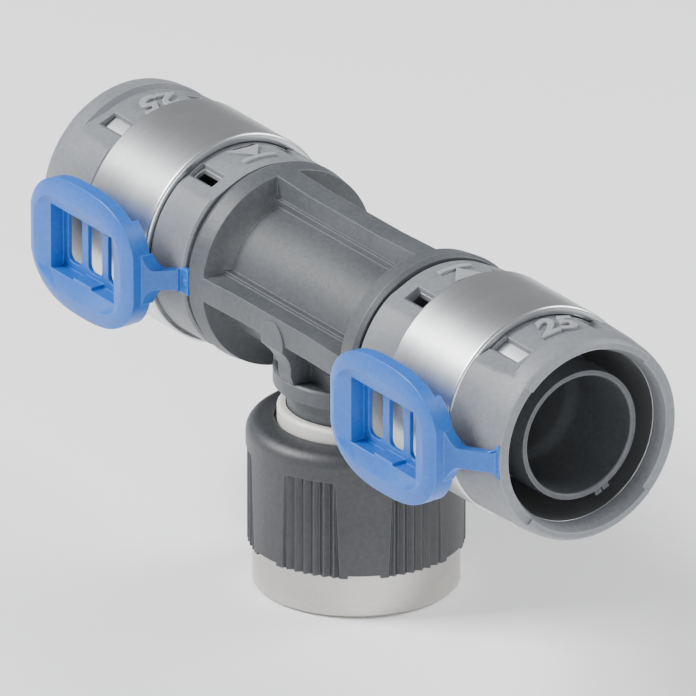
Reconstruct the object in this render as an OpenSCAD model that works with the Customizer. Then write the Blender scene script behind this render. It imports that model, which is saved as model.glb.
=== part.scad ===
// Press tee for composite pipe: two press ends along the run, and a union nut on the branch.
// The origin is the centre of the nut's lower rim. +Z runs up the branch to the run,
// +X runs along the run, and both press tags face -Y.

/* [Pipe] */
// Outside diameter of the pipe that each press end takes
pipe_d = 25; // [24:0.5:26]
// Wall of that pipe
pipe_wall = 2.5; // [2.3:0.1:2.7]
// Slip between the pipe's bore and the support sleeve
pipe_slip = 0.1; // [0.05:0.05:0.3]
// Room round the pipe inside the steel press sleeve
entry_gap = 0.57; // [0.3:0.01:0.8]

/* [Support sleeve] */
// Wall of the support sleeve behind its mouth
sleeve_wall = 1.9; // [1.6:0.1:2.2]
// Wall of the support sleeve at its mouth
mouth_wall = 1.05; // [0.9:0.05:1.4]
// How far the support sleeve ends inside the outer ring's face
mouth_recess = 2.55; // [1.8:0.05:3]
// Length of the wide mouth bore
mouth_len = 12.5; // [8:0.5:16]
// Length of the tapered lead-in outside the mouth
lead_len = 3; // [2:0.1:4]
// Width of each seal groove
groove_w = 2; // [1.8:0.1:2.4]
// Depth of each seal groove
groove_depth = 1; // [0.8:0.05:1.1]
// Distance from the pipe stop to the first seal
seal_first = 6.5; // [5:0.1:8]
// Distance between the two seals
seal_pitch = 5.5; // [4:0.1:6.5]
// Number of gripping barbs
barb_count = 3; // [1:1:3]
// Distance between the barbs
barb_pitch = 3.2; // [2.8:0.1:3.4]

/* [Body] */
// How far the neck collar's underside lies below the barrel
neck_drop = 0.4; // [0.2:0.1:2]
// Wall of the barrel between the ribs
barrel_wall = 3; // [2.6:0.1:3.4]
// Length of the recessed panels between the collars
panel_len = 35; // [33:0.5:37]
// Length of each collar
collar_len = 2.8; // [2:0.1:4]
// Length of the bevel at the collar's outer end
collar_bevel = 0.9; // [0.5:0.1:1.4]
// Width of the ribs that join the collars
rib_w = 3.3; // [2.5:0.1:4.5]
// Draft of each rib wall, from its crest to its foot
rib_draft = 0.55; // [0.3:0.05:0.8]
// Width of the step along each rib's foot
foot_w = 0.5; // [0.3:0.1:0.8]
// Drop of the rib crests at mid-length
rib_waist = 0.35; // [0:0.05:0.8]
// Half width of the square neck under the barrel
neck_half = 8.86; // [8.3:0.02:9.2]
// Length of the round neck collar
neck_collar_len = 2.7; // [2:0.1:3.5]
// Width of the neck ribs, front and rear
neck_rib_w = 3.1; // [2:0.1:4.5]
// Radius of the fillet that leads each neck rib into the run's rib
neck_fillet = 2.7; // [1.5:0.1:3]

/* [Press ends] */
// Wall of the steel press sleeve
sleeve_steel = 0.7; // [0.5:0.05:0.9]
// Length of the outer ring's lip, from its face to the steel press sleeve
mouth_lip = 3.05; // [2.6:0.05:3.6]
// Wall of the carriers under the press band
carrier_wall = 0.68; // [0.5:0.02:0.9]
// Wall of the rings beside the press band
ring_wall = 1.33; // [1.2:0.01:1.5]
// Wall of the press band
band_wall = 1.43; // [1.2:0.01:1.8]
// Width of the press band
band_len = 16; // [15:0.1:17]
// Length of the inner ring beside the body
inner_len = 8.4; // [7.8:0.1:9]
// Length of the outer ring up to its side faces
outer_len = 11.7; // [11:0.1:12.5]
// Rise of the outer ring beside the band
outer_flare = 0.75; // [0.4:0.05:1]
// How far the top and bottom of the outer ring's face stand out
face_step = 0.55; // [0.2:0.05:1]
// Gap between the body's collar and the inner ring
ring_gap = 0.8; // [0.5:0.05:1.2]
// Half angle of the pocket floors at the top and bottom of the rings
pocket_angle = 24.8; // [23:0.1:26]
// Tilt of the flat ramps beside the inner ring's pocket floors
inner_tilt = 26; // [20:0.5:27]
// Tilt of the flat ramps beside the outer ring's pocket floors
outer_tilt = 21.5; // [20:0.5:27]
// Length of the windows that show how far the pipe is in
window_len = 5.9; // [3:0.1:6.2]

/* [Press tags] */
// Length of a tag along the run
tag_len = 26.5; // [24:0.1:28]
// Height of a tag
tag_h = 20.2; // [18:0.1:22]
// Thickness of a tag's plate behind its crest
tag_plate = 2.95; // [2.4:0.05:3.4]
// Height of the relieved strip at the top and bottom of a tag's back
tag_relief = 3.1; // [2:0.1:4]
// Height of the crest round a tag's window
tag_crest = 0.85; // [0.4:0.05:1.2]
// Gap between the press band and the back of a tag
tag_standoff = 2.6; // [2:0.1:3.5]
// Length of a tag's window
tag_window_len = 16.3; // [14:0.1:17]
// Height of a tag's window
tag_window_h = 10.1; // [9:0.1:11]
// Slots through a tag's window
tag_slots = 3; // [1:1:3]
// Distance between the slots
tag_slot_pitch = 5.15; // [4.6:0.05:5.2]
// Width of each slot
tag_slot_w = 3.6; // [2:0.1:4]
// Height of each slot
tag_slot_h = 7.9; // [6:0.1:8.6]
// Radius of the pegs that hold a tag to its rings
peg_r = 0.6; // [0.4:0.05:0.8]

/* [Branch] */
// Radius of the branch's waterway
branch_r = 6.5; // [5:0.1:6.8]
// Wall of the branch spigot
spigot_wall = 3.5; // [3.2:0.1:3.8]
// Gap between the neck collar and the swivel bush
swivel_gap = 3.2; // [2:0.1:5]
// How far the swivel bush stands out of the nut
bush_show = 2; // [1.3:0.1:3]
// Wall of the swivel bush beside the nut's lip
bush_wall = 0.83; // [0.6:0.01:1]
// Rise of the bush's shoulder over the nut's lip
bush_shoulder = 0.46; // [0.3:0.02:0.5]
// Rise of the bush's flange under the nut's lip
bush_flange = 1.07; // [0.8:0.01:1.3]
// Width of the slit that lets the bush spring over the spigot
bush_slit = 1.2; // [0.6:0.1:2]
// Thickness of the flat gasket
gasket_t = 2; // [1.5:0.1:3]

/* [Union nut] */
// Inner radius of the nut's thread
thread_r = 12.06; // [11.9:0.02:12.6]
// Length of the nut's thread
thread_len = 10.9; // [9:0.1:12]
// Height of the nut's bare metal skirt
skirt_h = 7; // [5:0.1:8]
// Wall of the metal skirt
skirt_wall = 2.87; // [2.6:0.01:3.1]
// Height of the moulded grip
shell_h = 18.6; // [18:0.1:20]
// How far the grip stands out over the metal skirt
grip_over = 0.77; // [0.7:0.01:1.2]
// How much wider the grip is near its top
grip_flare = 0.2; // [0:0.05:0.4]
// Radius of the grip's rounded shoulder
dome_r = 2.2; // [1.5:0.1:2.6]
// Thickness of the grip's top
cap_t = 1; // [0.8:0.05:1.3]
// Height of the nut's inner lip
lip_h = 1.6; // [1.2:0.1:2]
// Groups of grooves round the grip
field_count = 6; // [4:1:6]
// Angle between the grooves of a group
groove_angle = 5.5; // [4:0.1:6]
// Half angle that a group covers at the grip's rim
field_angle = 17.2; // [10:0.2:18]
// Depth of each groove
groove_cut = 0.68; // [0.4:0.02:0.7]

/* [Fits] */
// Gap between pieces that stay put on each other
seat = 0.05; // [0.03:0.01:0.08]
// Gap between the turning nut and the bush
run_fit = 0.07; // [0.04:0.01:0.1]

/* [Hidden] */
$fn = 96;
eps = 0.01;

// Radii of the run, from the pipe outwards
sleeve_r = pipe_d / 2 - pipe_wall - pipe_slip;
bore_r = sleeve_r - sleeve_wall;
mouth_r = sleeve_r - mouth_wall;
lead_r = sleeve_r - 0.2;
entry_r = pipe_d / 2 + entry_gap;
steel_r = entry_r + sleeve_steel;
ring_bore_r = steel_r + seat;
carrier_r = ring_bore_r + carrier_wall;
band_in_r = carrier_r + 0.07;
band_r = band_in_r + band_wall;
ring_r = ring_bore_r + ring_wall;
floor_r = bore_r + barrel_wall;
rib_r = ring_r - 0.35;
spigot_run_r = entry_r - 0.07;
lock_r = spigot_run_r - 0.7;
seal_cord_r = groove_depth / 2 + 0.16;
seal_mid_r = sleeve_r - groove_depth + seal_cord_r + 0.03;

// Stations along the run, from the middle outwards
core_x = panel_len / 2;
bevel_x = core_x + collar_len;
collar_x = bevel_x + collar_bevel;
ring_x = collar_x + ring_gap;
stop_x = ring_x + 2;
band_x = ring_x + inner_len;
outer_x = band_x + band_len;
band_mid_x = (band_x + outer_x) / 2;
side_face_x = outer_x + outer_len;
face_x = side_face_x + face_step;
front_x = face_x - mouth_recess;
steel_x = stop_x + 0.7;
steel_end_x = face_x - mouth_lip - 2 * seat;
lead_x = front_x - lead_len;
barb_x = stop_x + 17;
window_x = band_x - window_len;

// Heights along the branch, from the nut's rim upwards
nut_top_z = skirt_h + shell_h;
bush_top_z = nut_top_z + bush_show;
collar_low_z = bush_top_z + swivel_gap;
axis_h = collar_low_z + floor_r + neck_drop;
collar_top_z = collar_low_z + neck_collar_len;
lip_top_z = nut_top_z - cap_t;
lip_low_z = lip_top_z - lip_h;
flange_top_z = lip_low_z - 0.1;
flange_low_z = flange_top_z - 1.3;
spigot_low_z = thread_len + 0.1 + gasket_t;

// Radii of the branch, from the waterway outwards
spigot_r = branch_r + spigot_wall;
neck_collar_r = spigot_r + 2;
bush_in_r = spigot_r + 0.1;
bead_r = spigot_r - 0.5;
bush_r = bush_in_r + bush_wall;
lip_r = bush_r + run_fit;
shoulder_r = bush_r + bush_shoulder;
flange_r = bush_r + bush_flange;
relief_r = max(thread_r, flange_r) + 0.54;
skirt_r = max(thread_r, flange_r) + skirt_wall;
grip_r = skirt_r + grip_over;
core_r = skirt_r - 0.53;
key_r = core_r + 0.35;
cap_hole_r = shoulder_r + 0.45;

// Places of the tags
tag_x = (band_x + outer_x) / 2;
tag_back_y = -(band_r + tag_standoff);
tag_front_y = tag_back_y - tag_plate;
tag_crest_y = tag_front_y - tag_crest;
tag_seat_y = -(ring_r + 0.25);
arm_t = 1.55;
arm_half_h = 3.8;
arm_end_half_h = 1.45;

// The outline [r, x] mirrored to the other end of the run, so that it closes on itself
function both_ways(points) =
    concat(points, [for (i = [len(points) - 1:-1:0]) [points[i][0], -points[i][1]]]);

// Points of an arc about [cx, cy]
function arc(cx, cy, r, from, to, steps = 4) =
    [for (i = [0:steps]) let (a = from + (to - from) * i / steps) [cx + r * cos(a), cy + r * sin(a)]];

// Points of a rounded square-sided oval, of half sizes a and b
function oval(a, b, power, cut = 1000, steps = 48) =
    [for (i = [0:steps - 1]) let (t = 360 * i / steps)
        [max(-cut, min(cut, a * sign(cos(t)) * pow(abs(cos(t)), 2 / power))),
         b * sign(sin(t)) * pow(abs(sin(t)), 2 / power)]];

// A point of the section across the run, from its radius and its angle from the top
function around(r, angle) = [r * sin(angle), r * cos(angle)];

// A body of revolution about the run, from points [radius, place along X]
module spin_run(points) {
    translate([0, 0, axis_h]) rotate([0, 90, 0]) rotate_extrude() polygon(points);
}

// A body of revolution about the branch, from points [radius, height]
module spin_branch(points) {
    rotate_extrude() polygon(points);
}

// A section [y, z] about the run's axis, drawn out along X
module along_run(from_x, to_x) {
    translate([from_x, 0, axis_h]) rotate([90, 0, 90]) linear_extrude(to_x - from_x) children();
}

// A front view [x, z] about the run's axis, drawn out from one Y to a larger one
module through_front(from_y, to_y) {
    translate([0, to_y, axis_h]) rotate([90, 0, 0]) linear_extrude(to_y - from_y) children();
}

// The right-hand piece, or its mirror image at the left end
module at_end(left) {
    if (left) {
        mirror([1, 0, 0]) children();
    } else {
        children();
    }
}

// The collars, the recessed barrel and the support sleeves, still solid inside
module run_solid() {
    seal_xs = [stop_x + seal_first, stop_x + seal_first + seal_pitch];
    spin_run(both_ways(concat(
        [[floor_r, core_x - 1.5], [floor_r + 1.2, core_x - 0.7], [rib_r, core_x],
         [ring_r, bevel_x], [ring_r - 0.4, collar_x], [spigot_run_r, collar_x],
         [spigot_run_r, ring_x - 0.1], [lock_r, ring_x - 0.1], [lock_r, ring_x + 1.3],
         [spigot_run_r, ring_x + 1.3], [spigot_run_r, stop_x], [sleeve_r, stop_x]],
        [for (x = seal_xs) for (p = [[0, -1], [groove_depth, -1], [groove_depth, 1], [0, 1]])
            [sleeve_r - p[0], x + p[1] * groove_w / 2]],
        [for (i = [0:barb_count - 1]) for (p = [[0, 0], [0.4, 0], [0, 2.4]])
            [sleeve_r - p[0], barb_x + i * barb_pitch + p[1]]],
        [[sleeve_r, lead_x], [lead_r, front_x], [0, front_x]])));
}

// The top, front and rear ribs between the collars: drafted walls on a stepped foot
module run_ribs() {
    foot_r = floor_r + 0.7;
    crest = rib_w / 2;
    foot = crest + rib_draft;
    intersection() {
        spin_run([[bore_r + 1, -core_x], [rib_r, -core_x], [rib_r - rib_waist, -neck_half],
                  [rib_r - rib_waist, neck_half], [rib_r, core_x], [bore_r + 1, core_x]]);
        along_run(-core_x, core_x) {
            for (turn = [0, 90, -90]) {
                rotate(turn) polygon([
                    [-crest, rib_r + 1], [-foot, foot_r], [-foot - foot_w, foot_r],
                    [-foot - foot_w, bore_r + 1], [foot + foot_w, bore_r + 1],
                    [foot + foot_w, foot_r], [foot, foot_r], [crest, rib_r + 1]]);
            }
        }
    }
}

// The square neck with its rounded corners, and the round collar below it
module neck() {
    translate([0, 0, collar_top_z - eps]) {
        intersection() {
            translate([-neck_half, -neck_half, 0]) cube([2 * neck_half, 2 * neck_half, axis_h - collar_top_z]);
            cylinder(h = axis_h - collar_top_z, r = neck_collar_r);
        }
    }
    spin_branch([[0, collar_low_z], [neck_collar_r - 0.3, collar_low_z], [neck_collar_r, collar_low_z + 0.3],
                 [neck_collar_r, collar_top_z - 0.3], [neck_collar_r - 0.3, collar_top_z], [0, collar_top_z]]);
}

// A rib down one face of the neck, led into the run's rib by a hollow fillet and a rounded crown
module neck_rib() {
    face = neck_collar_r + 0.43;
    crown = rib_r - rib_waist + 0.15;
    drop = -4;
    fillet_r = min(neck_fillet, crown - face + 0.55);
    along_x = neck_rib_w / 2;
    low = collar_top_z - axis_h;
    along_run(-along_x, along_x) {
        polygon(concat(
            [[-neck_half + 1, low], [-neck_collar_r, low], [-face, low + 1.4]],
            arc(-face - fillet_r, drop, fillet_r, 0, 75, 6),
            [[-crown, drop + fillet_r * 0.97], [-crown, -0.4], [-crown + 0.4, 0], [-neck_half + 1, 0]]));
    }
    // the arched lip where the rib meets the run's front rib
    through_front(-crown, -floor_r) {
        polygon(concat(
            [[-along_x - 1.2, drop + 1.9], [-along_x - 1.2, -1.65]],
            arc(0, -1.65, along_x + 1.2, 180, 0, 12),
            [[along_x + 1.2, drop + 1.9], [along_x, drop + 1.2], [-along_x, drop + 1.2]]));
    }
}

// The spigot that the nut and its bush turn on
module branch_spigot() {
    spin_branch([[0, spigot_low_z], [spigot_r - 0.3, spigot_low_z], [spigot_r, spigot_low_z + 0.3],
                 [spigot_r, flange_top_z - 0.1], [bead_r - 0.1, flange_top_z - 0.1],
                 [bead_r - 0.1, flange_top_z + 1.1], [spigot_r, flange_top_z + 1.1],
                 [spigot_r, collar_low_z + 0.5], [0, collar_low_z + 0.5]]);
}

// A small split nub near the mouth of each support sleeve
module sleeve_nub() {
    rotate_to = 25;
    translate([0, 0, axis_h]) rotate([rotate_to, 0, 0]) {
        for (side = [-1, 1]) {
            translate([front_x - 2.6, side * 0.67 - 0.55, -sleeve_r - 1.1]) cube([1.8, 1.1, 1.6]);
        }
    }
}

module tee_body() {
    color("dimgray") difference() {
        union() {
            run_solid();
            run_ribs();
            neck();
            neck_rib();
            mirror([0, 1, 0]) neck_rib();
            branch_spigot();
            sleeve_nub();
            mirror([1, 0, 0]) sleeve_nub();
        }
        spin_run(both_ways([[bore_r, front_x - mouth_len - 3.2], [mouth_r, front_x - mouth_len],
                            [mouth_r, front_x - 0.2], [mouth_r + 0.2, front_x],
                            [mouth_r + 0.2, front_x + 1], [0, front_x + 1]]));
        translate([0, 0, spigot_low_z - 1]) cylinder(h = axis_h - spigot_low_z + 1, r = branch_r);
    }
}

// An O-ring in one of the sleeve's grooves
module seal(x, left) {
    color("black") at_end(left) translate([x, 0, axis_h]) rotate([0, 90, 0]) rotate_extrude()
        translate([seal_mid_r, 0]) circle(r = seal_cord_r, $fn = 24);
}

// The section of one window: upright on the pocket's side, and sloping on the other
module window_section() {
    wall_y = carrier_r * sin(pocket_angle) - 0.13;
    for (side = [-1, 1]) {
        polygon([[side * wall_y, carrier_r + 1], [side * wall_y, entry_r * 0.85],
                 around(entry_r - 0.2, side * 32.5), around(ring_bore_r, side * 33.6),
                 around(carrier_r + 0.6, side * 36.8)]);
    }
}

// What a window takes out, at the top and at the bottom
module windows(from_x, to_x) {
    along_run(from_x, to_x) {
        window_section();
        rotate(180) window_section();
    }
}

// What limits the rings' pockets at the top and bottom: a wedge for the floor, then flat ramps
module pocket_wedges(from_x, to_x, tilt) {
    foot = around(carrier_r, pocket_angle);
    ramp = 9;
    end = [foot[0] + ramp * cos(tilt), foot[1] - ramp * sin(tilt)];
    along_run(from_x, to_x) {
        for (turn = [0, 180]) {
            rotate(turn) polygon([[0, 0], foot, end, [end[0], band_r + 3], [-end[0], band_r + 3],
                                  [-end[0], end[1]], [-foot[0], foot[1]]]);
        }
    }
}

// The steel sleeve that the tool presses onto the pipe
module press_sleeve(left) {
    color("lightsteelblue") at_end(left) difference() {
        spin_run([[entry_r, steel_x], [entry_r, steel_end_x], [steel_r, steel_end_x], [steel_r, steel_x]]);
        windows(window_x + 0.2, band_x - 0.4);
    }
}

// The moulded ring beside the body, with the carrier that goes under half of the band
module inner_ring(left) {
    lip_x = ring_x + 1.2;
    lead = 0.35;
    color("slategray") at_end(left) difference() {
        spin_run([[lock_r + 0.08, ring_x], [ring_r - lead, ring_x], [ring_r, ring_x + lead],
                  [ring_r, band_x - 0.2], [ring_r - 0.2, band_x], [carrier_r, band_x],
                  [carrier_r, band_mid_x - seat], [ring_bore_r, band_mid_x - seat],
                  [ring_bore_r, steel_x - seat], [spigot_run_r + seat, steel_x - seat],
                  [spigot_run_r + seat, lip_x], [lock_r + 0.08, lip_x]]);
        intersection() {
            spin_run([[carrier_r, ring_x - 1], [band_r + 2, ring_x - 1],
                      [band_r + 2, band_x + eps], [carrier_r, band_x + eps]]);
            pocket_wedges(ring_x - 1, band_x + 1, inner_tilt);
        }
        windows(window_x, band_x);
        peg_hole(ring_x + 1.2);
    }
}

// The steel band that the tool's jaws close on
module press_band(left) {
    round_r = 0.5;
    low_x = band_x + seat;
    high_x = outer_x - seat;
    color("silver") at_end(left) spin_run(concat(
        [[band_in_r, low_x]],
        arc(band_r - round_r, low_x + round_r, round_r, -90, 0),
        arc(band_r - round_r, high_x - round_r, round_r, 0, 90),
        [[band_in_r, high_x]]));
}

// The moulded ring at the mouth, with the carrier under the other half of the band
module outer_ring(left) {
    crown_r = ring_r + outer_flare;
    brow_r = ring_r + 0.15;
    throat_x = face_x - 1.65;
    lip_x = face_x - mouth_lip;
    reach = band_r + 3;
    color("slategray") at_end(left) difference() {
        spin_run([[carrier_r, band_mid_x + seat], [carrier_r, outer_x], [crown_r - 0.2, outer_x],
                  [crown_r, outer_x + 0.2], [brow_r + 0.35, side_face_x - 5], [brow_r, side_face_x - 1.1],
                  [brow_r - 0.24, side_face_x], [brow_r - 0.66, face_x], [steel_r + 0.02, face_x],
                  [entry_r, throat_x], [entry_r, lip_x], [ring_bore_r, lip_x],
                  [ring_bore_r, band_mid_x + seat]]);
        along_run(side_face_x, face_x + 1) {
            for (side = [-1, 1]) {
                polygon([[0, 0], around(reach * 1.5, side * 45), around(reach * 1.5, side * 135)]);
            }
        }
        intersection() {
            spin_run([[carrier_r, outer_x - eps], [carrier_r, side_face_x - 3.8], [brow_r + 0.3, side_face_x - 3.2],
                      [band_r + 2, side_face_x - 3.2], [band_r + 2, outer_x - eps]]);
            pocket_wedges(outer_x - 1, side_face_x, outer_tilt);
        }
        windows(outer_x, outer_x + window_len + 0.8);
        peg_hole(side_face_x - 1.4);
    }
}

// The hole that one of a tag's pegs snaps into
module peg_hole(x) {
    translate([x, -entry_r - 0.3, axis_h]) rotate([90, 0, 0]) cylinder(h = 5, r = peg_r + seat, $fn = 32);
}

// One arm of a tag, seen from above: it leaves the plate's edge and sweeps back to the ring
module tag_arm(end_x, tip) {
    side = sign(end_x);
    root_x = side * (tag_len / 2);
    waist_x = root_x + (end_x - root_x) * 0.3;
    waist = arm_end_half_h;
    flare = 0.5;
    upper = concat(
        [[root_x - side * 1.5, arm_half_h], [root_x, arm_half_h]],
        [for (i = [1:5]) let (t = i / 5)
            [root_x + (waist_x - root_x) * t, waist + (arm_half_h - waist) * pow(1 - t, 2)]],
        [for (i = [0:4]) let (t = i / 4) [end_x + side * (0.1 - flare * (1 - t)), waist + flare * t * t]]);
    intersection() {
        translate([tag_x, 0, axis_h - arm_half_h]) linear_extrude(2 * arm_half_h) polygon([
            [root_x - side * 1.4, tag_back_y - arm_t], [root_x, tag_back_y - arm_t],
            [end_x, tag_seat_y - 0.35], [end_x, tag_seat_y], [end_x - side * tip, tag_seat_y],
            [root_x - side * 0.2, tag_back_y], [root_x - side * 1.4, tag_back_y]]);
        translate([tag_x, 0, 0]) through_front(tag_back_y - 2, tag_seat_y + 1)
            polygon(concat(upper, [for (i = [len(upper) - 1:-1:0]) [upper[i][0], -upper[i][1]]]));
    }
}

// The break-off tag that shows a joint hasn't been pressed yet
module press_tag(left) {
    half_len = tag_len / 2;
    half_h = tag_h / 2;
    floor_y = tag_back_y - 0.65;
    in_end = ring_x + 0.4 - tag_x;
    out_end = side_face_x - 0.2 - tag_x;
    color("royalblue") at_end(left) difference() {
        union() {
            translate([tag_x, 0, 0]) through_front(tag_front_y, tag_back_y)
                polygon(oval(half_len + 0.35, half_h, 2.6, half_len));
            hull() {
                translate([tag_x, 0, 0]) through_front(tag_front_y, tag_front_y + 0.02)
                    polygon(oval(half_len + 0.35, half_h, 2.6, half_len));
                translate([tag_x, 0, 0]) through_front(tag_crest_y, tag_crest_y + 0.02)
                    polygon(oval(half_len - 1.85, half_h - 2.4, 3.2));
            }
            tag_arm(in_end, 1.6);
            tag_arm(out_end, 2);
            for (x = [ring_x + 1.2, side_face_x - 1.4]) {
                translate([x, tag_seat_y + 1.1, axis_h]) rotate([90, 0, 0])
                    cylinder(h = 1.5, r = peg_r, $fn = 32);
            }
        }
        hull() {
            translate([tag_x, 0, 0]) through_front(tag_crest_y - 0.1, tag_crest_y - 0.08)
                polygon(oval(half_len - 1.95, half_h - 2.5, 3.2));
            translate([tag_x, 0, 0]) through_front(tag_front_y + 0.03, tag_front_y + 0.05)
                square([tag_window_len, tag_window_h], center = true);
        }
        for (side = [-1, 1]) {
            translate([tag_x, 0, side * (half_h - tag_relief / 2 + 1)]) through_front(tag_back_y - 1, tag_back_y + 1)
                square([2 * (half_len - 3.2), tag_relief + 2], center = true);
        }
        translate([tag_x, 0, 0]) through_front(tag_crest_y, floor_y) difference() {
            square([tag_window_len, tag_window_h], center = true);
            translate([-2.25, -tag_window_h / 2 - 1]) square([4.5, 1.45]);
        }
        translate([tag_x, 0, 0]) through_front(tag_crest_y, tag_back_y + 1) {
            for (i = [0:tag_slots - 1]) {
                translate([(i - (tag_slots - 1) / 2) * tag_slot_pitch, 0]) tag_slot();
            }
        }
    }
}

// The outline of one slot: an upright bar with rounded corners
module tag_slot() {
    round_r = 1.2;
    for (sx = [-1, 1]) {
        for (sy = [-1, 1]) {
            translate([sx * (tag_slot_w / 2 - round_r), sy * (tag_slot_h / 2 - round_r)])
                circle(r = round_r, $fn = 32);
        }
    }
    square([tag_slot_w - 2 * round_r, tag_slot_h], center = true);
    square([tag_slot_w, tag_slot_h - 2 * round_r], center = true);
}

// The split ring that holds the nut on the spigot
module swivel_bush() {
    color("gainsboro") difference() {
        spin_branch([[bush_in_r, flange_low_z], [flange_r - 0.3, flange_low_z], [flange_r, flange_low_z + 0.3],
                     [flange_r, flange_top_z], [bush_r, flange_top_z], [bush_r, lip_top_z + 0.1],
                     [shoulder_r, lip_top_z + 0.1], [shoulder_r, bush_top_z - 0.4],
                     [shoulder_r - 0.4, bush_top_z], [bush_in_r, bush_top_z],
                     [bush_in_r, flange_top_z + 1], [bead_r, flange_top_z + 1],
                     [bead_r, flange_top_z], [bush_in_r, flange_top_z]]);
        translate([-bush_slit / 2, 0, flange_low_z - 1]) cube([bush_slit, 2 * flange_r, bush_top_z]);
    }
}

// The gasket between the spigot and whatever the nut draws up to it
module flat_gasket() {
    color("black") spin_branch([[branch_r + 0.5, thread_len + 0.1], [relief_r - 0.1, thread_len + 0.1],
                                [relief_r - 0.1, spigot_low_z], [branch_r + 0.5, spigot_low_z]]);
}

// Places of the keys that stop the grip from turning on the nut
module key_sectors(r, half_angle, from_z, to_z) {
    for (i = [0:field_count - 1]) {
        rotate((i + 0.5) * 360 / field_count) translate([0, 0, from_z]) linear_extrude(to_z - from_z)
            polygon([[core_r - 0.5, -r * sin(half_angle)], [r, -r * sin(half_angle)],
                     [r, r * sin(half_angle)], [core_r - 0.5, r * sin(half_angle)]]);
    }
}

// The threaded metal nut
module nut_body() {
    color("lightgray") {
        spin_branch([[thread_r, 0], [skirt_r - 0.5, 0], [skirt_r, 0.5], [skirt_r, skirt_h - 0.05],
                     [core_r, skirt_h - 0.05], [core_r, lip_top_z - seat], [lip_r, lip_top_z - seat],
                     [lip_r, lip_low_z], [relief_r, lip_low_z], [relief_r, thread_len], [thread_r, thread_len]]);
        key_sectors(key_r, 3, skirt_h - 0.1, lip_low_z - 2);
    }
}

// What one group of grooves takes out of the grip: a zigzag inside a tapering outline with round corners
module groove_field() {
    valley_r = grip_r - groove_cut;
    far_r = grip_r + 3;
    steps = 2 * ceil(field_angle / groove_angle) + 1;
    edge = steps * groove_angle / 2;
    low_z = skirt_h - 1;
    top_z = nut_top_z - dome_r - 2;
    low_w = grip_r * sin(field_angle);
    top_w = grip_r * sin(field_angle - 3.2);
    corner = 0.9;
    slope = 1.15;
    intersection() {
        translate([0, 0, low_z]) linear_extrude(top_z - low_z + 2) polygon(concat(
            [for (i = [-steps:steps]) let (r = i % 2 == 0 ? valley_r : grip_r - 0.02, a = i * groove_angle / 2)
                [r * cos(a), r * sin(a)]],
            [[far_r * cos(edge), far_r * sin(edge)], [far_r * cos(edge), -far_r * sin(edge)]]));
        hull() {
            for (r = [valley_r - 1, far_r]) {
                spread = slope * (r - valley_r);
                rotate([90, 0, 90]) translate([0, 0, r]) linear_extrude(0.02) polygon(concat(
                    [[-low_w - spread, low_z], [low_w + spread, low_z]],
                    arc(top_w + spread - corner, top_z - corner, corner, 10, 90),
                    arc(-top_w - spread + corner, top_z - corner, corner, 90, 170)));
            }
        }
    }
}

// The moulded grip over the nut: a domed cap with groups of grooves
module nut_grip() {
    inner_r = core_r + seat;
    shoulder_z = nut_top_z - 0.2 - dome_r;
    top_r = grip_r + grip_flare;
    hem = 0.45;
    hem_r = skirt_r + 0.04;
    far = 2 * top_r;
    hem_angle = field_angle + 3.8;
    bare_angle = 180 / field_count - hem_angle;
    color("#26282b") difference() {
        spin_branch(concat(
            [[inner_r, skirt_h], [hem_r, skirt_h], [hem_r, skirt_h - hem], [grip_r, skirt_h - hem],
             [top_r, shoulder_z]],
            arc(top_r - dome_r, shoulder_z, dome_r, 15, 90, 5),
            [[cap_hole_r, nut_top_z], [cap_hole_r, lip_top_z], [inner_r, lip_top_z]]));
        for (i = [0:field_count - 1]) {
            rotate(i * 360 / field_count) groove_field();
            rotate((i + 0.5) * 360 / field_count) translate([0, 0, skirt_h - 2]) linear_extrude(2)
                polygon([[1, 0], [far, -far * tan(bare_angle)], [far, far * tan(bare_angle)]]);
        }
        key_sectors(key_r + seat, 3.2, skirt_h - 1, lip_low_z - 1.9);
    }
}

tee_body();
seal(stop_x + seal_first, true);  // seal_inner_left
seal(stop_x + seal_first + seal_pitch, true);  // seal_outer_left
seal(stop_x + seal_first, false);  // seal_inner_right
seal(stop_x + seal_first + seal_pitch, false);  // seal_outer_right
press_sleeve(true);  // press_sleeve_left
press_sleeve(false);  // press_sleeve_right
inner_ring(true);  // inner_ring_left
inner_ring(false);  // inner_ring_right
press_band(true);  // press_band_left
press_band(false);  // press_band_right
outer_ring(true);  // outer_ring_left
outer_ring(false);  // outer_ring_right
press_tag(true);  // press_tag_left
press_tag(false);  // press_tag_right
swivel_bush();
flat_gasket();
nut_body();
nut_grip();
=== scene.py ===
# %% [markdown]
# A press tee joins two composite pipes in line and brings out a branch with a union nut.
# The exact model gives every piece its place and size. This lesson gives each piece its finish,
# makes the bands and the nut's thread by rules with Geometry Nodes, and adds what is too fine
# for the exact model: the size numbers and the marks on the rings, the feet of the tags' arms,
# and the gussets of the neck.

# %% Load the exact model
import math

import bmesh
import bpy
from mathutils import Matrix, Vector


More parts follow.
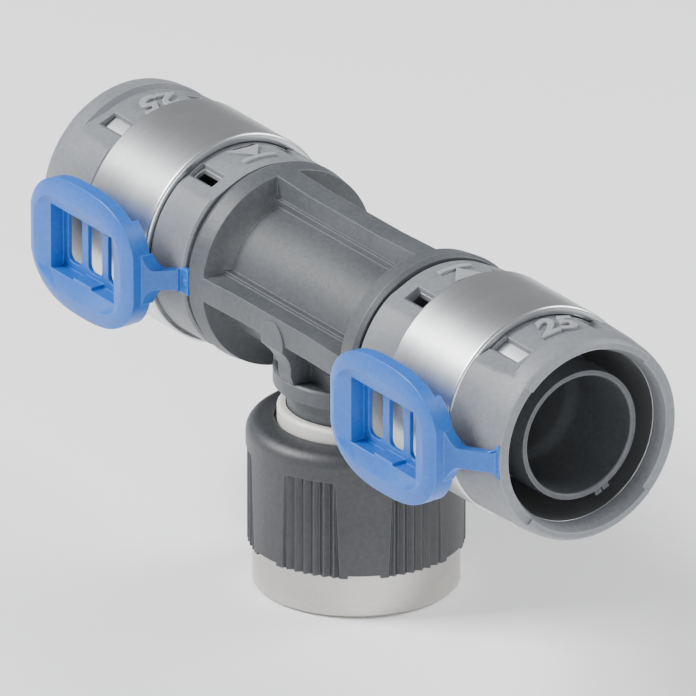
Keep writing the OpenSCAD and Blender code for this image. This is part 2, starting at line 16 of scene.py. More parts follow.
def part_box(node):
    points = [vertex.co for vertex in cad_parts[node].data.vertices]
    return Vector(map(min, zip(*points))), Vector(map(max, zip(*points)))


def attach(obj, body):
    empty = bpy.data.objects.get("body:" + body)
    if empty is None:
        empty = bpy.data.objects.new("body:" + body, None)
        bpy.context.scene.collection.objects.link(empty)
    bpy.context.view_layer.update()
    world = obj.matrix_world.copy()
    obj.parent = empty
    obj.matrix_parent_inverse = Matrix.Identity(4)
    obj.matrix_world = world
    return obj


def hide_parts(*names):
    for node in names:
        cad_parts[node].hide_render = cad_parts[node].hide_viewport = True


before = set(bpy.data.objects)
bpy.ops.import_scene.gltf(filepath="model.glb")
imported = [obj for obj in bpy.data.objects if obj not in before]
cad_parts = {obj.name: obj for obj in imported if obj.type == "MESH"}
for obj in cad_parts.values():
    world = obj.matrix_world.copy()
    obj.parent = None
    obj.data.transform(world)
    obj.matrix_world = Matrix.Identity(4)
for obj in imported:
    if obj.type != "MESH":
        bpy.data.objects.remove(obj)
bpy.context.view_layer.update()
MM = 0.001
FITTING = "fitting"
NUT = "union_nut"
SIDES = {"left": -1, "right": 1}

# %% [markdown]
# Places come from the exact pieces wherever they can. The run's height, the stations along it
# and the radii are read from the boxes of the pieces. A size that no box shows, such as a wall,
# gets a name of its own before it is used.

# %% Read the driving sizes from the frame
BAND_WALL = 1.43 * MM
BAND_GAP = 0.07 * MM


def low(node):
    """The lowest corner of an exact piece."""
    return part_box(node)[0]


def high(node):
    """The highest corner of an exact piece."""
    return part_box(node)[1]


axis_z = (low("press_band_right").z + high("press_band_right").z) / 2
band_r = (high("press_band_right").z - low("press_band_right").z) / 2
band_low_x = low("press_band_right").x
band_high_x = high("press_band_right").x
band_mid_x = (band_low_x + band_high_x) / 2
carrier_r = band_r - BAND_WALL - BAND_GAP
print("run axis at", round(axis_z / MM, 2), "mm, band radius", round(band_r / MM, 2), "mm")

# %% [markdown]
# Shader maths reads better as sums than as boxes and wires. A small class wraps a socket, so
# that 0.4 + 0.2 * grain adds its Math nodes by itself. One method adds every other node:
# its type, its settings and the values or links of its sockets.

# %% A socket that can be written in sums, and a material that adds nodes
class Value:
    """A number that varies over the surface."""

    def __init__(self, paint, socket):
        self.paint = paint
        self.socket = socket

    def math(self, operation, first, second):
        """One Math node on values or plain numbers."""
        node = self.paint.node("ShaderNodeMath", {"operation": operation}, {0: first, 1: second})
        return Value(self.paint, node.outputs[0])

    def __add__(self, other):
        return self.math("ADD", self, other)

    def __sub__(self, other):
        return self.math("SUBTRACT", self, other)

    def __rsub__(self, other):
        return self.math("SUBTRACT", other, self)

    def __mul__(self, other):
        return self.math("MULTIPLY", self, other)

    __radd__ = __add__
    __rmul__ = __mul__

    def clamped(self, least, most):
        """The value kept between two limits."""
        return self.math("MINIMUM", self.math("MAXIMUM", self, least), most)


class Paint:
    """A material under construction."""

    def __init__(self, name, metallic=0.0):
        self.material = bpy.data.materials.new(name + "_finish")
        self.material.use_nodes = True
        self.tree = self.material.node_tree
        self.shader = self.tree.nodes["Principled BSDF"]
        self.shader.inputs["Metallic"].default_value = metallic

    def node(self, kind, settings=None, sockets=None):
        """Adds one node: settings first, then its sockets by name or number."""
        made = self.tree.nodes.new(kind)
        for key, setting in (settings or {}).items():
            setattr(made, key, setting)
        for key, given in (sockets or {}).items():
            self.feed(made.inputs[key], given)
        return made

    def feed(self, socket, given):
        """Puts a link or a plain value on a socket."""
        if isinstance(given, Value):
            given = given.socket
        if isinstance(given, bpy.types.NodeSocket):
            self.tree.links.new(given, socket)
        else:
            socket.default_value = given

    def place(self, scale=(1, 1, 1)):
        """The point on the piece, stretched along each axis."""
        where = self.node("ShaderNodeTexCoord").outputs["Object"]
        return self.node("ShaderNodeMapping", None, {"Vector": where, "Scale": scale}).outputs[0]

    def noise(self, scale, detail=2.0, stretch=(1, 1, 1)):
        """Seamless noise from 0 to 1, in features per metre."""
        made = self.node("ShaderNodeTexNoise", None,
                         {"Vector": self.place(stretch), "Scale": scale, "Detail": detail})
        return Value(self, made.outputs[0])

    def tint(self, colour, other, share):
        """A mix of two colours, plain ones or sockets, by a share that varies."""
        colour, other = [(*c, 1) if isinstance(c, tuple) else c for c in (colour, other)]
        made = self.node("ShaderNodeMix", {"data_type": "RGBA"}, {0: share, 6: colour, 7: other})
        return made.outputs[2]

    def soft_edges(self, radius):
        """The surface's own direction, rounded over every edge."""
        return self.node("ShaderNodeBevel", {"samples": 6}, {"Radius": radius}).outputs[0]

    # This edge mask paints every edge lighter, convex and concave alike: partly rubbed wear, partly
    # a painted highlight.
    def edge_wear_and_highlight(self, rounded, gain):
        """From 0 on open faces to 1 where the rounded direction turns over an edge."""
        plain = self.node("ShaderNodeNewGeometry").outputs["Normal"]
        turned_by = self.node("ShaderNodeVectorMath", {"operation": "DISTANCE"},
                              {0: rounded, 1: plain}).outputs["Value"]
        return (gain * Value(self, turned_by)).clamped(0, 1)

    def relief(self, height, depth, under):
        """A bump from a height that varies, on top of another direction."""
        return self.node("ShaderNodeBump", None, {"Height": height, "Distance": depth,
                                                  "Strength": 1.0, "Normal": under}).outputs[0]

    def finish(self, **sockets):
        """Feeds the shader and hands the material over."""
        for key, given in sockets.items():
            self.feed(self.shader.inputs[key.replace("_", " ")], given)
        return self.material


print("shader helpers ready")

# %% [markdown]
# The body, the rings and the grip are moulded in steel tools that are spark eroded, which leaves
# an even, fine grain. Noise of about a third of a millimetre gives the bump, and two coarser ones
# let the tone drift. Every edge catches the light by its rounded direction. Where that turns away
# from the face, on convex and concave edges alike, the edge is made smoother and painted lighter:
# partly rubbed wear, partly a painted highlight.

# %% Moulded plastics
GRAIN, FLECK, DRIFT = 3200, 1400, 90  # features per metre
MOULDED_EDGE = 0.22 * MM
WEAR_AND_HIGHLIGHT_GAIN = 2.5
# How much lighter the edges are painted: partly rubbed wear, partly a painted highlight along every
# edge.
WEAR_AND_HIGHLIGHT_LIGHTER, WEAR_AND_HIGHLIGHT_LIFT, WEAR_AND_HIGHLIGHT_SHARE = 1.4, 0.02, 0.8


def moulded(name, colour, light, gloss=0.42, grain=0.034):
    """A moulded plastic with spark-eroded grain, its edges painted lighter as wear and as a
    highlight.
    """
    paint = Paint(name)
    fine = paint.noise(GRAIN, 3)
    slow = paint.noise(DRIFT, 2)
    fleck = paint.noise(FLECK, 1)
    rounded = paint.soft_edges(MOULDED_EDGE)
    # Edges are painted lighter, convex and concave alike: partly rubbed wear, partly a painted
    # highlight.
    edge_wear_and_highlight = paint.edge_wear_and_highlight(rounded, WEAR_AND_HIGHLIGHT_GAIN)
    tone = paint.tint(colour, light, (1.6 * slow + 1.4 * fleck - 1.1).clamped(0, 1))
    worn_and_highlit = tuple(WEAR_AND_HIGHLIGHT_LIGHTER * part + WEAR_AND_HIGHLIGHT_LIFT for part in light)
    tone = paint.tint(tone, worn_and_highlit, WEAR_AND_HIGHLIGHT_SHARE * edge_wear_and_highlight)
    normal = paint.relief(fine, grain * MM, rounded)
    return paint.finish(Base_Color=tone, Roughness=gloss + 0.14 * fine - 0.1 * edge_wear_and_highlight,
                        Normal=normal)


body_plastic = moulded("body_plastic", (0.052, 0.057, 0.063), (0.078, 0.084, 0.091))
ring_plastic = moulded("ring_plastic", (0.15, 0.159, 0.172), (0.195, 0.205, 0.22))
grip_plastic = moulded("grip_plastic", (0.026, 0.028, 0.031), (0.042, 0.044, 0.048), 0.4)
tag_plastic = moulded("tag_plastic", (0.006, 0.09, 0.4), (0.01, 0.12, 0.48), 0.32, 0.006)
bush_plastic = moulded("bush_plastic", (0.62, 0.61, 0.56), (0.7, 0.69, 0.64), 0.36, 0.006)
# The raised signs take a lighter copy of the ring's plastic: partly rubbed wear on their faces,
# partly a painted highlight that makes them stand out from the ring.
raised_plastic_worn_and_highlit = moulded("raised_ring_plastic", (0.23, 0.24, 0.256), (0.29, 0.3, 0.318),
                         0.36, 0.006)
seal_rubber = moulded("seal_rubber", (0.012, 0.012, 0.013), (0.02, 0.02, 0.022), 0.5)
print("plastics:", [m.name for m in (body_plastic, ring_plastic, grip_plastic, tag_plastic,
                                    bush_plastic, raised_plastic_worn_and_highlit, seal_rubber)])

# %% [markdown]
# The bands, the sleeves and the nut are turned or drawn metal. Turning leaves lines that run
# round the axis, so the noise is kept fine along the axis and drawn out across it.

# %% Turned metals
ROUND_X = (1, 0.012, 0.012)
ROUND_Z = (0.012, 0.012, 1)
LINE_FINE, LINE_BROAD, METAL_DRIFT = 14000, 3600, 120  # features per metre
TURNED_EDGE = 0.2 * MM


def turned(name, colour, light, lines, gloss, depth):
    """A metal with fine lines round its axis."""
    paint = Paint(name, metallic=1.0)
    line = 0.5 * paint.noise(LINE_FINE, 3, lines) + 0.5 * paint.noise(LINE_BROAD, 2, lines)
    slow = paint.noise(METAL_DRIFT, 2)
    tone = paint.tint(colour, light, (0.7 * line + 0.3 * slow).clamped(0, 1))
    normal = paint.relief(line, depth * MM, paint.soft_edges(TURNED_EDGE))
    rough = gloss + 0.1 * line + 0.06 * slow
    return paint.finish(Base_Color=tone, Roughness=rough, Normal=normal)


band_steel = turned("band_steel", (0.5, 0.51, 0.52), (0.68, 0.69, 0.7), ROUND_X, 0.24, 0.004)
sleeve_steel = turned("sleeve_steel", (0.56, 0.57, 0.58), (0.7, 0.71, 0.72), ROUND_X, 0.36, 0.003)
nut_metal = turned("nut_metal", (0.4, 0.39, 0.365), (0.56, 0.55, 0.52), ROUND_Z, 0.2, 0.004)
print("metals:", [m.name for m in (band_steel, sleeve_steel, nut_metal)])

# %% [markdown]
# Every piece ends as a plain mesh with even shading: edges sharper than a limit are kept sharp,
# and large faces lead the shading, so that turned walls shine evenly. A Bevel modifier rounds
# the edges of what is moulded. A few helpers do this for all the pieces.

# %% Helpers that keep a piece as a plain mesh
SHARP = math.radians(26)
ROUNDED_FROM = math.radians(32)
EDGE_ROUND = 0.12 * MM
SEAM = 1e-7


def in_scene(thing):
    """Puts an object into the scene."""
    bpy.context.scene.collection.objects.link(thing)
    return thing


def as_mesh(thing):
    """What an object's modifiers or its curve make, as a plain mesh."""
    return bpy.data.meshes.new_from_object(
        thing.evaluated_get(bpy.context.evaluated_depsgraph_get()))


def keep_shape(name, shape):
    """A shape under construction as a named mesh."""
    mesh = bpy.data.meshes.new(name)
    shape.to_mesh(mesh)
    shape.free()
    return mesh


def weigh_normals(piece, edge_round=0.0):
    """Rounds the edges if asked, lets large faces lead the shading, and keeps a plain mesh."""
    if edge_round > 0:
        rounded = piece.modifiers.new("edge_round", "BEVEL")
        rounded.width = edge_round
        rounded.segments = 2
        rounded.limit_method = "ANGLE"
        rounded.angle_limit = ROUNDED_FROM
        rounded.use_clamp_overlap = True
        rounded.harden_normals = False
    weighted = piece.modifiers.new("even_shading", "WEIGHTED_NORMAL")
    weighted.keep_sharp = True
    weighted.weight = 100
    shaped = as_mesh(piece)
    piece.modifiers.clear()
    piece.data = shaped


def mark_sharp(mesh):
    """Smooth faces, with every edge sharper than the limit kept sharp."""
    shape = bmesh.new()
    shape.from_mesh(mesh)
    for face in shape.faces:
        face.smooth = True
    for edge in shape.edges:
        edge.smooth = len(edge.link_faces) == 2 and edge.calc_face_angle(0) < SHARP
    shape.to_mesh(mesh)
    shape.free()


def close_skin(mesh):
    """Merges doubles, turns every face outwards and marks the sharp edges."""
    shape = bmesh.new()
    shape.from_mesh(mesh)
    bmesh.ops.remove_doubles(shape, verts=shape.verts, dist=SEAM)
    bmesh.ops.recalc_face_normals(shape, faces=shape.faces)
    shape.to_mesh(mesh)
    shape.free()
    mark_sharp(mesh)


def new_piece(name, mesh, material, body):
    """A named piece that rides on a body."""
    piece = in_scene(bpy.data.objects.new(name, mesh))
    mesh.materials.clear()
    mesh.materials.append(material)
    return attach(piece, body)


print("mesh helpers ready")

# %% [markdown]
# The exact pieces arrive as loose triangles. A copy of each is merged, flat neighbours are joined
# into one face, and the copy stands for the exact piece. The moulded pieces get rounded edges,
# the tags twice as much. Drawn steel, rubber and the grooved grip keep their crisp edges.

# %% Dress the exact pieces
DOUBLES = 1e-6
FLAT = math.radians(0.4)


def dress(node, material, body=FITTING, edge_round=0.0):
    """A merged, evenly shaded copy that stands for an exact piece."""
    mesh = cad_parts[node].data.copy()
    shape = bmesh.new()
    shape.from_mesh(mesh)
    bmesh.ops.remove_doubles(shape, verts=shape.verts, dist=DOUBLES)
    bmesh.ops.dissolve_limit(shape, angle_limit=FLAT, verts=shape.verts, edges=shape.edges)
    shape.to_mesh(mesh)
    shape.free()
    if mesh.attributes.get("custom_normal"):
        mesh.attributes.remove(mesh.attributes["custom_normal"])
    mark_sharp(mesh)
    piece = new_piece(node + "_shell", mesh, material, body)
    weigh_normals(piece, edge_round)
    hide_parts(node)
    return piece


dressed = [dress("tee_body", body_plastic, FITTING, EDGE_ROUND),
           dress("swivel_bush", bush_plastic, FITTING, EDGE_ROUND),
           dress("flat_gasket", seal_rubber), dress("nut_grip", grip_plastic, NUT)]
for side in SIDES:
    for node, material, edge_round in (
            ("inner_ring_", ring_plastic, EDGE_ROUND), ("outer_ring_", ring_plastic, EDGE_ROUND),
            ("press_sleeve_", sleeve_steel, 0.0), ("press_tag_", tag_plastic, 2 * EDGE_ROUND),
            ("seal_inner_", seal_rubber, 0.0), ("seal_outer_", seal_rubber, 0.0)):
        dressed.append(dress(node + side, material, FITTING, edge_round))
print("dressed pieces:", len(dressed))

# %% [markdown]
# Two kinds of piece follow a plain rule, so Geometry Nodes make them: the bands are a profile
# swept round a circle, and the thread is one swept along a helix. A rule is a node group whose
# sizes are named inputs. It is built once, given its sizes for each piece, and turned into a
# plain mesh.

# %% A rule with named sizes, and a way to make a piece from it
class Rule:
    """A Geometry Nodes group whose sizes are named inputs."""

    def __init__(self, name, counts, sizes):
        self.group = bpy.data.node_groups.new(name, "GeometryNodeTree")
        self.group.interface.new_socket("Geometry", in_out="OUTPUT",
                                        socket_type="NodeSocketGeometry")
        for key in counts:
            self.group.interface.new_socket(key, in_out="INPUT", socket_type="NodeSocketInt")
        for key in sizes:
            self.group.interface.new_socket(key, in_out="INPUT", socket_type="NodeSocketFloat")
        self.group.interface.new_socket("Material", in_out="INPUT",
                                        socket_type="NodeSocketMaterial")
        self.size = self.group.nodes.new("NodeGroupInput").outputs

    def node(self, kind, settings=None, sockets=None):
        """Adds one node and hands over its first output."""
        made = self.group.nodes.new(kind)
        for key, setting in (settings or {}).items():
            setattr(made, key, setting)
        for key, given in (sockets or {}).items():
            if isinstance(given, bpy.types.NodeSocket):
                self.group.links.new(given, made.inputs[key])
            else:
                made.inputs[key].default_value = given
        return made.outputs[0]

    def combine(self, x=0.0, y=0.0, z=0.0):
        """A vector from three numbers or sockets."""
        return self.node("ShaderNodeCombineXYZ", None, {"X": x, "Y": y, "Z": z})

    def math(self, operation, first, second):
        """One sum on numbers or sockets."""
        return self.node("ShaderNodeMath", {"operation": operation}, {0: first, 1: second})

    def end(self, geometry):
        """Makes instances real, sets the material and closes the rule."""
        real = self.node("GeometryNodeRealizeInstances", None, {"Geometry": geometry})
        painted = self.node("GeometryNodeSetMaterial", None,
                            {"Geometry": real, "Material": self.size["Material"]})
        self.group.links.new(painted, self.group.nodes.new("NodeGroupOutput").inputs[0])


def make_by(rule, name, material, body, slot, **given):
    """Runs a rule with its sizes and keeps the result as a plain piece."""
    maker = in_scene(bpy.data.objects.new(name + "_maker", bpy.data.meshes.new(name + "_maker")))
    modifier = maker.modifiers.new("rule", "NODES")
    modifier.node_group = rule.group
    given["Material"] = material
    for socket in rule.group.interface.items_tree:
        if socket.in_out == "INPUT":
            modifier[socket.identifier] = given[socket.name.replace(" ", "_")]
    mesh = as_mesh(maker)
    bpy.data.objects.remove(maker)
    close_skin(mesh)
    return new_piece(name, mesh, material, body)


print("rules ready")

# %% [markdown]
# A press band is a turned steel ring: a flat strip section with rolled edges, swept round the
# run. The section is a rectangle with filleted corners, so its edges are truly round and catch a
# bright line where the band meets the rings.

# %% Press bands
BAND_EDGE = 0.5 * MM
BAND_SEGMENTS = 192

band_rule = Rule("turned_ring", ("Segments",),
                 ("Middle radius", "Wall", "Width", "Edge radius", "Station", "Axis height"))
strip = band_rule.node("GeometryNodeCurvePrimitiveQuadrilateral", None,
                       {"Width": band_rule.size["Wall"], "Height": band_rule.size["Width"]})
strip = band_rule.node("GeometryNodeFilletCurve", {"mode": "POLY"},
                       {"Curve": strip, "Count": 5, "Radius": band_rule.size["Edge radius"],
                        "Limit Radius": True})
circle = band_rule.node("GeometryNodeCurvePrimitiveCircle", {"mode": "RADIUS"},
                        {"Resolution": band_rule.size["Segments"],
                         "Radius": band_rule.size["Middle radius"]})
swept = band_rule.node("GeometryNodeCurveToMesh", None, {"Curve": circle, "Profile Curve": strip})
place = band_rule.combine(x=band_rule.size["Station"], z=band_rule.size["Axis height"])
band_rule.end(band_rule.node("GeometryNodeTransform", None,
                             {"Geometry": swept, "Translation": place,
                              "Rotation": (0, math.radians(90), 0)}))

bands = []
for side, sign in SIDES.items():
    band = make_by(band_rule, "press_band_" + side + "_ring", band_steel, FITTING, "band_steel",
                   Segments=BAND_SEGMENTS, Middle_radius=band_r - BAND_WALL / 2,
                   Wall=BAND_WALL, Width=band_high_x - band_low_x, Edge_radius=BAND_EDGE,
                   Station=sign * band_mid_x, Axis_height=axis_z)
    weigh_normals(band)
    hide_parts("press_band_" + side)
    bands.append(band)
print("bands:", [len(band.data.polygons) for band in bands])

# %% [markdown]
# The nut takes a G 3/4 pipe thread: 14 turns to the inch, 55 degree flanks. The exact model
# stops at a plain bore of the thread's inner radius. Here the bore is opened to the outer
# radius, to make room for the thread.

# %% Open the nut's bore
THREAD_INNER_R = 12.06 * MM
THREAD_OUTER_R = 13.22 * MM
THREAD_TOP = 10.9 * MM
BORE_SLACK = 0.06 * MM
TOP_SLACK = 0.1 * MM

nut = dress("nut_body", nut_metal, NUT)
opened = 0
for vertex in nut.data.vertices:
    reach = math.hypot(vertex.co.x, vertex.co.y)
    if abs(reach - THREAD_INNER_R) < BORE_SLACK and vertex.co.z < THREAD_TOP + TOP_SLACK:
        vertex.co.x *= THREAD_OUTER_R / reach
        vertex.co.y *= THREAD_OUTER_R / reach
        opened += 1
print("points of the bore moved out:", opened)

# %% [markdown]
# The thread is one ridge that runs up the bore along a helix, as a tap leaves it. Its section is
# a circle of three points, stretched to the thread's depth and pitch, with its tip towards the
# axis and its root sunk a little into the nut.

# %% The thread's ridge
THREAD_PITCH = 1.814 * MM
THREAD_TURNS = 5.0
THREAD_POINTS = 96
RIDGE_ROOT = 0.3 * MM
RIDGE_FILL = 0.98

thread_rule = Rule("thread_ridge", ("Points a turn",),
                   ("Inner radius", "Depth", "Pitch", "Turns", "Start height"))
middle = thread_rule.math("ADD", thread_rule.size["Inner radius"],
                          thread_rule.math("MULTIPLY", thread_rule.size["Depth"], 2 / 3))
tall = thread_rule.math("MULTIPLY", thread_rule.size["Pitch"], thread_rule.size["Turns"])
helix = thread_rule.node("GeometryNodeCurveSpiral", None,
                         {"Resolution": thread_rule.size["Points a turn"],
                          "Rotations": thread_rule.size["Turns"], "Start Radius": middle,
                          "End Radius": middle, "Height": tall, "Reverse": True})
helix = thread_rule.node("GeometryNodeSetCurveNormal", {"mode": "Z_UP"}, {"Curve": helix})
tooth = thread_rule.node("GeometryNodeCurvePrimitiveCircle", {"mode": "RADIUS"},
                         {"Resolution": 3, "Radius": 1.0})
stretch = thread_rule.combine(
    x=thread_rule.math("MULTIPLY", thread_rule.size["Depth"], 2 / 3),
    y=thread_rule.math("MULTIPLY", thread_rule.size["Pitch"], RIDGE_FILL / math.sqrt(3)), z=1.0)
tooth = thread_rule.node("GeometryNodeTransform", None,
                         {"Geometry": tooth, "Rotation": (0, 0, math.pi), "Scale": stretch})
ridge = thread_rule.node("GeometryNodeCurveToMesh", None,
                         {"Curve": helix, "Profile Curve": tooth, "Fill Caps": True})
thread_rule.end(thread_rule.node(
    "GeometryNodeTransform", None,
    {"Geometry": ridge, "Translation": thread_rule.combine(z=thread_rule.size["Start height"])}))

thread = make_by(thread_rule, "nut_thread", nut_metal, NUT, "nut_metal",
                 Points_a_turn=THREAD_POINTS, Inner_radius=THREAD_INNER_R,
                 Depth=THREAD_OUTER_R - THREAD_INNER_R + RIDGE_ROOT,
                 Pitch=THREAD_PITCH, Turns=THREAD_TURNS,
                 Start_height=(THREAD_TOP - THREAD_TURNS * THREAD_PITCH) / 2)
reaches = [math.hypot(vertex.co.x, vertex.co.y) / MM for vertex in thread.data.vertices]
print("thread from radius", round(min(reaches), 2), "to", round(max(reaches), 2), "mm")

# %% [markdown]
# The pipe's size stands in raised digits on the floor of each outer ring's pocket, and a small
# sign on the inner rings, an arrow that points to a bar, tells how far the pipe has to reach.
# Both are made flat, as thin plates, and then wrapped round the run by turning the distance
# across the plate into an angle.

# %% Wrap a plate round the run
RAISE = 0.42 * MM


def join_loops(shape, rows):
    """Four-cornered faces between each loop of points and the next."""
    for near, far in zip(rows, rows[1:]):
        for i in range(len(near)):
            j = (i + 1) % len(near)
            shape.faces.new((near[i], near[j], far[j], far[i]))


def wrap_on_ring(mesh, station, sign, shift=0.0):
    """Bends a flat plate round the run, with its top towards the middle of the fitting."""
    for vertex in mesh.vertices:
        across, up, out = vertex.co
        angle = (across + shift) / carrier_r
        r = carrier_r + out
        vertex.co = (sign * (station - up), sign * r * math.sin(angle),
                     axis_z + r * math.cos(angle))
    close_skin(mesh)


print("signs stand", round(RAISE / MM, 2), "mm above a radius of", round(carrier_r / MM, 2), "mm")

# %% [markdown]
# The digits are a text object: slanted, made a little fatter by its offset, raised by its
# extrusion and softened by a fine bevel. It becomes a mesh before it is wrapped.

# %% Size numbers
DIGITS = "25"
DIGIT_STATION = 50.1 * MM
DIGIT_SHIFT = -0.3 * MM
TYPE_SIZE = 6.4 * MM
DIGIT_SLANT = 0.36
DIGIT_SUNK = 0.05 * MM


def raised_digits(name, sign):
    """The pipe's size as a thin plate of slanted digits."""
    curve = bpy.data.curves.new(name, "FONT")
    curve.body = DIGITS
    curve.size = TYPE_SIZE
    curve.shear = DIGIT_SLANT
    curve.offset = 0.1 * MM
    curve.extrude = RAISE / 2 + DIGIT_SUNK
    curve.bevel_depth = 0.06 * MM
    curve.bevel_resolution = 1
    curve.resolution_u = 5
    curve.space_character = 1.02
    curve.align_x = "CENTER"
    curve.align_y = "CENTER"
    flat = in_scene(bpy.data.objects.new(name + "_flat", curve))
    mesh = as_mesh(flat)
    bpy.data.objects.remove(flat)
    for vertex in mesh.vertices:
        vertex.co.z += RAISE / 2 - DIGIT_SUNK
    wrap_on_ring(mesh, DIGIT_STATION, sign, DIGIT_SHIFT)
    return new_piece(name, mesh, raised_plastic_worn_and_highlit, FITTING)


numbers = [raised_digits("size_number_" + side, sign) for side, sign in SIDES.items()]
print("size numbers:", [len(number.data.polygons) for number in numbers])

# %% [markdown]
# The mark is drawn as two outlines with points close enough to bend round the ring. Each outline
# is a thin plate with its underside just below the ring's surface.

# %% Depth marks
MARK_STATION = low("inner_ring_right").x + 4.6 * MM
MARK_SUNK = 0.06 * MM
MARK_STEPS = 12
BAR_HALF, BAR_TOP, BAR_FOOT = 2.7 * MM, 2.2 * MM, 1.4 * MM
ARROW_HALF, ARROW_FOOT = 2.6 * MM, -2.3 * MM


def line_across(half, up):
    """Points from left to right at one height, close enough to bend."""
    return [(half * (2 * i / MARK_STEPS - 1), up) for i in range(MARK_STEPS + 1)]


def raised_mark(name, sign):
    """An arrowhead that touches a bar, as thin plates."""
    shape = bmesh.new()
    bar = line_across(BAR_HALF, BAR_TOP) + line_across(-BAR_HALF, BAR_FOOT)
    arrow = [(0.0, BAR_FOOT)] + line_across(ARROW_HALF, ARROW_FOOT)
    for outline in (bar, arrow):
        rows = [[shape.verts.new((x, y, z)) for x, y in outline] for z in (-MARK_SUNK, RAISE)]
        shape.faces.new(rows[1])
        shape.faces.new(list(reversed(rows[0])))
        join_loops(shape, rows)
    mesh = keep_shape(name, shape)
    wrap_on_ring(mesh, MARK_STATION, sign)
    return new_piece(name, mesh, raised_plastic_worn_and_highlit, FITTING)


marks = [raised_mark("depth_mark_" + side, sign) for side, sign in SIDES.items()]
print("depth marks:", [len(mark.data.polygons) for mark in marks])

# %% [markdown]
# Some small forms change their section from one end to the other. They are lofts: a row of
# loops of four corners, joined by faces and closed at both ends.

# %% A loft through loops of four corners
def loft(name, loops, material):
    """A closed piece on the fitting, through a row of four-cornered loops."""
    shape = bmesh.new()
    rows = [[shape.verts.new(corner) for corner in loop] for loop in loops]
    join_loops(shape, rows)
    shape.faces.new(rows[0])
    shape.faces.new(rows[-1])
    mesh = keep_shape(name, shape)
    close_skin(mesh)
    piece = new_piece(name, mesh, material, FITTING)
    weigh_normals(piece, EDGE_ROUND)
    return piece


print("loft ready, edges rounded by", round(EDGE_ROUND / MM, 2), "mm")

# %% [markdown]
# Each arm of a tag ends in a small foot that spreads over the edge of the ring, where the tag
# tears off. Its sides flare like a trumpet, and its front goes on in line with the arm.

# %% Feet of the tag arms
TAG_LEN = 26.5 * MM
ARM_THICK = 1.55 * MM
FOOT_HALF = 1.42 * MM
FOOT_STEPS = 10
FRONT_SUNK, FRONT_PROUD = 0.05 * MM, 0.15 * MM
# From the arm's end: where a foot starts, where its tip lies, and how far it spreads.
FOOT_SIZES = {"outer": (-2.3 * MM, 0.05 * MM, 1.3 * MM), "inner": (1.4 * MM, -1.8 * MM, 0.56 * MM)}

ring_r = (high("inner_ring_right").z - low("inner_ring_right").z) / 2
arm_root_y = -(band_r + 2.6 * MM) - ARM_THICK
arm_low_y = -(ring_r + 0.6 * MM)
foot_back_y = -(ring_r - 0.1 * MM)
arm_ends = {"outer": high("press_tag_right").x, "inner": low("press_tag_right").x}


def arm_front_y(x, end_x):
    """The place in depth of an arm's front, at a station along the run."""
    root_x = band_mid_x + math.copysign(TAG_LEN / 2, end_x - band_mid_x)
    share = (x - root_x) / (end_x - root_x)
    return min(arm_root_y + (arm_low_y - arm_root_y) * share, arm_low_y)


def arm_foot(name, sign, end_x, start, tip, flare):
    """A foot from a station on the arm to its tip, spread to its full height at the arm's end."""
    loops = []
    for i in range(FOOT_STEPS + 1):
        share = i / FOOT_STEPS
        x = end_x + start + (tip - start) * share
        half = FOOT_HALF + flare * min(1 - (x - end_x) / start, 1) ** 3
        front = arm_front_y(x, end_x) + FRONT_SUNK - (FRONT_SUNK + FRONT_PROUD) * share
        loops.append([(sign * x, y, axis_z + z) for y, z in (
            (front, -half), (front, half), (foot_back_y, half), (foot_back_y, -half))])
    return loft(name, loops, tag_plastic)


feet = [arm_foot("tag_foot_" + end + "_" + side, sign, arm_ends[end], *sizes)
        for side, sign in SIDES.items() for end, sizes in FOOT_SIZES.items()]
print("feet:", [len(foot.data.polygons) for foot in feet])

# %% [markdown]
# The inner feet carry the round mark that an ejector pin of the mould leaves. It is a few rings
# of points round one middle, with a rounded rim.

# %% Marks of the ejector pins
PIN_R = 0.45 * MM
PIN_PROUD = 0.3 * MM
PIN_PAST_END = 1.2 * MM
PIN_SIDES = 32


def pin_mark(name, x):
    """A low round boss with a rounded rim, facing the front."""
    shape = bmesh.new()
    rings = [(PIN_R, -PIN_PROUD), (PIN_R, 0.6 * PIN_PROUD), (0.86 * PIN_R, PIN_PROUD),
             (0.0, PIN_PROUD)]
    turns = [2 * math.pi * i / PIN_SIDES for i in range(PIN_SIDES)]
    rows = [[shape.verts.new((x + r * math.cos(turn), arm_low_y - out, axis_z + r * math.sin(turn)))
             for turn in turns] for r, out in rings]
    join_loops(shape, rows)
    shape.faces.new(rows[0])
    mesh = keep_shape(name, shape)
    close_skin(mesh)
    return new_piece(name, mesh, tag_plastic, FITTING)


pins = [pin_mark("tag_pin_mark_" + side, sign * (arm_ends["inner"] - PIN_PAST_END))
        for side, sign in SIDES.items()]
print("pin marks:", [len(pin.data.polygons) for pin in pins])

# %% [markdown]
# On the real body the round lip at the top of each neck rib runs down into the rib in one hollow
# sweep. The exact model has the lip and the rib; this gusset closes the step between them. It
# follows the lip's arch at the top, and narrows to the rib as it falls back to its face.

# %% Gussets between the neck ribs and their lips
LIP_Y = 14.66 * MM
RIB_FACE_Y = 12.38 * MM
GUSSET_BACK_Y = 11.8 * MM
LIP_R = 2.77 * MM
RIB_HALF = 1.53 * MM
LIP_MIDDLE, LIP_FOOT, SWEEP_FOOT = -1.65 * MM, -2.85 * MM, -7.0 * MM
SWEEP_HALF = LIP_R - 0.12 * MM
SWEEP_STEPS = 14


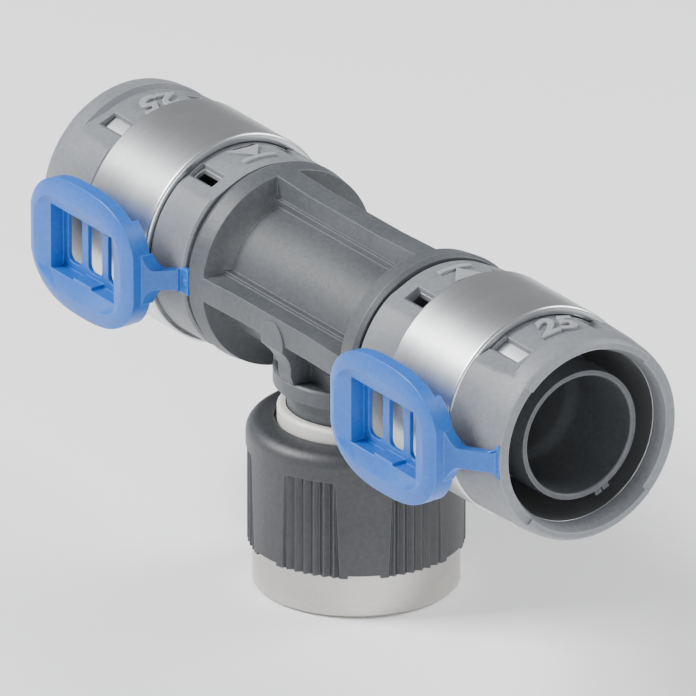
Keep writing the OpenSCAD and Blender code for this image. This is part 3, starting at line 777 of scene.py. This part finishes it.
def gusset_stations():
    """Height, depth and half width, from the top of the lip's arch to the foot of the sweep."""
    turns = [math.radians(angle) for angle in range(8, 91, 6)] + [math.pi / 2]
    stations = [(LIP_MIDDLE + LIP_R * math.cos(turn), LIP_Y, LIP_R * math.sin(turn))
                for turn in turns]
    for i in range(SWEEP_STEPS + 1):
        left = 1 - i / SWEEP_STEPS
        stations.append((SWEEP_FOOT + (LIP_FOOT - SWEEP_FOOT) * left,
                         RIB_FACE_Y + (LIP_Y - RIB_FACE_Y) * left ** 2,
                         RIB_HALF + (SWEEP_HALF - RIB_HALF) * left ** 1.6))
    return stations


def neck_gusset(name, toward):
    """A hollow sweep from a lip to its rib, on the front (-1) or the back (1)."""
    loops = [[(x, toward * y, axis_z + z) for x, y in (
        (-half, out), (half, out), (half, GUSSET_BACK_Y), (-half, GUSSET_BACK_Y))]
             for z, out, half in gusset_stations()]
    return loft(name, loops, body_plastic)


gussets = [neck_gusset("neck_gusset_front", -1), neck_gusset("neck_gusset_back", 1)]
print("gussets:", [len(gusset.data.polygons) for gusset in gussets])

# %% [markdown]
# The studio is plain: a pale floor under the nut's rim, a large soft light from the upper left,
# a weaker one from the right, and a rim light from behind.

# %% Floor and lights
FLOOR_HALF = 4.0
FLOOR_TONE = (0.94, 0.94, 0.94, 1)
# The place and size of each light in metres, and its power in watts.
LIGHTS = {"key": ((-0.3, -0.4, 0.5), 0.3, 8.6), "fill": ((0.6, -0.2, 0.14), 0.4, 3.0),
          "rim": ((0.15, 0.5, 0.4), 0.35, 4.0)}
SKY_TONE = (0.95, 0.97, 1.0, 1)
SKY_STRENGTH = 0.38


def pale_floor():
    """A wide pale sheet at the height the nut stands on."""
    mesh = bpy.data.meshes.new("floor")
    corners = [(x * FLOOR_HALF, y * FLOOR_HALF, 0) for x, y in ((-1, -1), (1, -1), (1, 1), (-1, 1))]
    mesh.from_pydata(corners, [], [(0, 1, 2, 3)])
    floor = in_scene(bpy.data.objects.new("floor", mesh))
    mesh.materials.append(Paint("floor_paper").finish(Base_Color=FLOOR_TONE, Roughness=0.75))


def soft_light(name, place, size, power):
    """A square area light that faces the fitting."""
    lamp = bpy.data.lights.new(name, "AREA")
    lamp.size = size
    lamp.energy = power
    light = in_scene(bpy.data.objects.new(name, lamp))
    light.location = place
    aim = Vector((0, 0, axis_z)) - Vector(place)
    light.rotation_euler = aim.to_track_quat("-Z", "Y").to_euler()


pale_floor()
for name, (place, size, power) in LIGHTS.items():
    soft_light(name, place, size, power)
world = bpy.data.worlds.new("studio")
bpy.context.scene.world = world
world.use_nodes = True
sky = world.node_tree.nodes["Background"].inputs
sky["Color"].default_value = SKY_TONE
sky["Strength"].default_value = SKY_STRENGTH
print("lights:", list(LIGHTS))

# %% [markdown]
# The picture is a parallel view, so the camera stands far away with a very long lens. The
# crossing of the run and the branch lies a little right of and above the picture's middle.

# %% Camera
AZIMUTH = math.radians(55.82)
ELEVATION = math.radians(23.08)
PICTURE_SIDE = 696
PIXEL = MM / 7.0
CROSSING = (356.4, 306.9)
LENS = 1500.0
SENSOR = 36.0

right_way = Vector((math.cos(AZIMUTH), math.sin(AZIMUTH), 0))
back_way = Vector((math.sin(AZIMUTH) * math.cos(ELEVATION),
                   -math.cos(AZIMUTH) * math.cos(ELEVATION), math.sin(ELEVATION)))
up_way = back_way.cross(right_way)
aim = (Vector((0, 0, axis_z)) - right_way * (CROSSING[0] - PICTURE_SIDE / 2) * PIXEL
       - up_way * (PICTURE_SIDE / 2 - CROSSING[1]) * PIXEL)
distance = PICTURE_SIDE * PIXEL * LENS / SENSOR
camera = in_scene(bpy.data.objects.new("camera", bpy.data.cameras.new("camera")))
camera.data.lens = LENS
camera.data.sensor_width = SENSOR
camera.data.clip_start = 0.1
camera.data.clip_end = 20
camera.matrix_world = (Matrix.Translation(aim + back_way * distance)
                       @ Matrix((right_way, up_way, back_way)).transposed().to_4x4())
bpy.context.scene.camera = camera
print("camera at", round(distance, 2), "m")

# %% [markdown]
# The scene is complete.

# %% Finish
print("scene complete")
